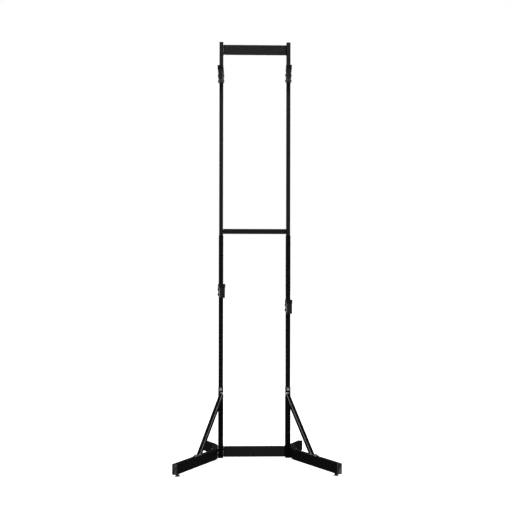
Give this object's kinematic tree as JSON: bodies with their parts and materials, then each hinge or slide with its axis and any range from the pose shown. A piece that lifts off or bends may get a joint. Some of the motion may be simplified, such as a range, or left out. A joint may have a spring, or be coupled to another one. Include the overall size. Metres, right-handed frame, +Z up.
{
  "type": "two tier bicycle rack",
  "caption": "Free-standing two-tier bicycle rack: telescoping rectangular posts on bent legs, with padded arms that slide on the posts and lock with hand knobs.",
  "frame": {"origin": "on the floor, at the middle of the rack's footprint", "axes": "+Z up, -Y to the front, where the arms reach, +X to the right as seen from the front"},
  "size_m": [0.77, 0.6538, 2.0543],
  "materials": {
    "powder_coat": "satin black powder coat with a fine texture",
    "pad_rubber": "matte black moulded rubber",
    "arm_plastic": "matte black moulded plastic",
    "cap_plastic": "dark grey moulded plastic, fine grain",
    "knob_plastic": "black glass-filled plastic, satin",
    "glide_plastic": "dark grey nylon with a scuffed pale underside",
    "zinc": "bright zinc plate",
    "black_zinc": "black zinc plate, satin"
  },
  "bodies": {
    "frame": {"left_base_leg": "powder_coat", "right_base_leg": "powder_coat", "leg_cap_front_left": "cap_plastic", "leg_cap_rear_left": "cap_plastic", "leg_cap_front_right": "cap_plastic", "leg_cap_rear_right": "cap_plastic", "left_base_post": "powder_coat", "right_base_post": "powder_coat", "base_cross_plate": "powder_coat", "base_bolt_low_left": "zinc", "base_bolt_high_left": "zinc", "base_bolt_low_right": "zinc", "base_bolt_high_right": "zinc", "left_brace": "powder_coat", "right_brace": "powder_coat", "brace_upper_bolt_left": "zinc", "brace_upper_bolt_right": "zinc", "brace_lower_bolt_left": "zinc", "brace_lower_bolt_right": "zinc", "left_middle_post": "powder_coat", "right_middle_post": "powder_coat", "left_upper_post": "powder_coat", "right_upper_post": "powder_coat", "left_post_cap": "cap_plastic", "right_post_cap": "cap_plastic", "middle_cross_bar": "powder_coat", "top_panel": "powder_coat"},
    "upper_left_arm": {"arm_bracket_upper_left": "powder_coat", "arm_tube_upper_left": "powder_coat", "cradle_pad_upper_left": "pad_rubber", "arm_plug_upper_left": "arm_plastic", "arm_bolt_high_upper_left": "black_zinc", "arm_bolt_low_upper_left": "black_zinc"},
    "upper_right_arm": {"arm_bracket_upper_right": "powder_coat", "arm_tube_upper_right": "powder_coat", "cradle_pad_upper_right": "pad_rubber", "arm_plug_upper_right": "arm_plastic", "arm_bolt_high_upper_right": "black_zinc", "arm_bolt_low_upper_right": "black_zinc"},
    "lower_left_arm": {"arm_bracket_lower_left": "powder_coat", "arm_tube_lower_left": "powder_coat", "cradle_pad_lower_left": "pad_rubber", "arm_plug_lower_left": "arm_plastic", "arm_bolt_high_lower_left": "black_zinc", "arm_bolt_low_lower_left": "black_zinc"},
    "lower_right_arm": {"arm_bracket_lower_right": "powder_coat", "arm_tube_lower_right": "powder_coat", "cradle_pad_lower_right": "pad_rubber", "arm_plug_lower_right": "arm_plastic", "arm_bolt_high_lower_right": "black_zinc", "arm_bolt_low_lower_right": "black_zinc"},
    "upper_left_knob": {"clamp_knob_upper_left": "knob_plastic"},
    "upper_right_knob": {"clamp_knob_upper_right": "knob_plastic"},
    "lower_left_knob": {"clamp_knob_lower_left": "knob_plastic"},
    "lower_right_knob": {"clamp_knob_lower_right": "knob_plastic"},
    "front_left_foot": {"foot_front_left": "glide_plastic"},
    "front_right_foot": {"foot_front_right": "glide_plastic"},
    "rear_left_foot": {"foot_rear_left": "glide_plastic"},
    "rear_right_foot": {"foot_rear_right": "glide_plastic"}
  },
  "joints": [
    {"name": "upper_left_arm_slide", "type": "slide", "parent": "frame", "child": "upper_left_arm", "axis": [0, 0, 1], "range_m": [-0.711, 0.0825]},
    {"name": "upper_right_arm_slide", "type": "slide", "parent": "frame", "child": "upper_right_arm", "axis": [0, 0, 1], "range_m": [-0.715, 0.0785]},
    {"name": "lower_left_arm_slide", "type": "slide", "parent": "frame", "child": "lower_left_arm", "axis": [0, 0, 1], "range_m": [-0.443, 0.22]},
    {"name": "lower_right_arm_slide", "type": "slide", "parent": "frame", "child": "lower_right_arm", "axis": [0, 0, 1], "range_m": [-0.367, 0.295]},
    {"name": "upper_left_knob_turn", "type": "hinge", "parent": "upper_left_arm", "child": "upper_left_knob", "pos_m": [-0.16404, 0.15319, 1.8965], "axis": [0.0262, 0.9997, 0], "range_deg": [0, 720]},
    {"name": "upper_right_knob_turn", "type": "hinge", "parent": "upper_right_arm", "child": "upper_right_knob", "pos_m": [0.16674, 0.15316, 1.9005], "axis": [0.0471, 0.9989, 0], "range_deg": [0, 720]},
    {"name": "lower_left_knob_turn", "type": "hinge", "parent": "lower_left_arm", "child": "lower_left_knob", "pos_m": [-0.16647, 0.15467, 0.8535], "axis": [-0.0384, 0.9993, 0], "range_deg": [0, 720]},
    {"name": "lower_right_knob_turn", "type": "hinge", "parent": "lower_right_arm", "child": "lower_right_knob", "pos_m": [0.16574, 0.15469, 0.778], "axis": [0.0192, 0.9998, 0], "range_deg": [0, 720]},
    {"name": "front_left_foot_wind", "type": "slide", "parent": "frame", "child": "front_left_foot", "axis": [0, 0, -1], "range_m": [0, 0.012]},
    {"name": "front_right_foot_wind", "type": "slide", "parent": "frame", "child": "front_right_foot", "axis": [0, 0, -1], "range_m": [0, 0.012]},
    {"name": "rear_left_foot_wind", "type": "slide", "parent": "frame", "child": "rear_left_foot", "axis": [0, 0, -1], "range_m": [0, 0.012]},
    {"name": "rear_right_foot_wind", "type": "slide", "parent": "frame", "child": "rear_right_foot", "axis": [0, 0, -1], "range_m": [0, 0.012]}
  ]
}
